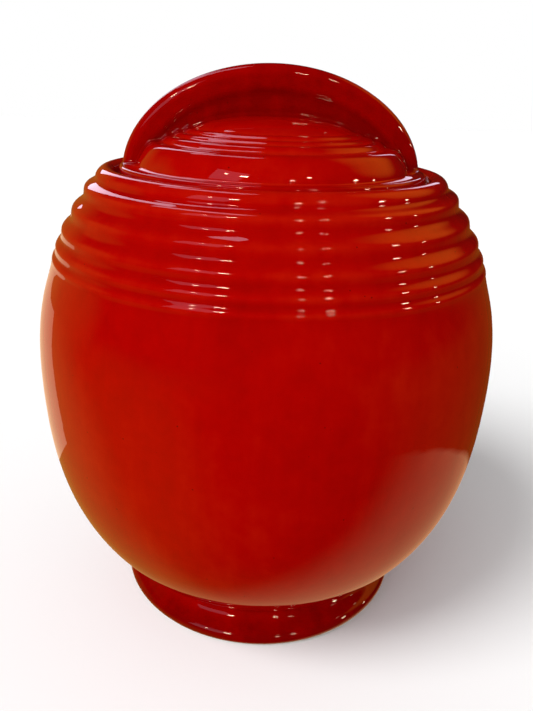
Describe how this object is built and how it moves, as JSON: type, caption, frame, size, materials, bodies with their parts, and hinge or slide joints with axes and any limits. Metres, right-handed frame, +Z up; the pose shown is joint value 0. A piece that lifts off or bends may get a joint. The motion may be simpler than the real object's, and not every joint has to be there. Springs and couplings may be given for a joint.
{
  "type": "lidded jar",
  "caption": "Egg-shaped glazed jar with stepped rings on its shoulder, a flared foot and a ringed lift-off lid with an arched fin handle.",
  "frame": {"origin": "centre of the circle that the foot stands on", "axes": "+Z up along the axis the jar is turned about, +X along the lid's fin handle"},
  "size_m": [0.1978, 0.1978, 0.235],
  "materials": {
    "glaze_red": "gloss"
  },
  "bodies": {
    "jar": {"jar_body": "glaze_red", "jar_foot": "glaze_red"},
    "lid": {"lid_shell": "glaze_red", "lid_handle": "glaze_red"}
  },
  "joints": [
    {"name": "lid_lift", "type": "slide", "parent": "jar", "child": "lid", "axis": [0, 0, 1], "range_m": [0, 0.1]}
  ]
}
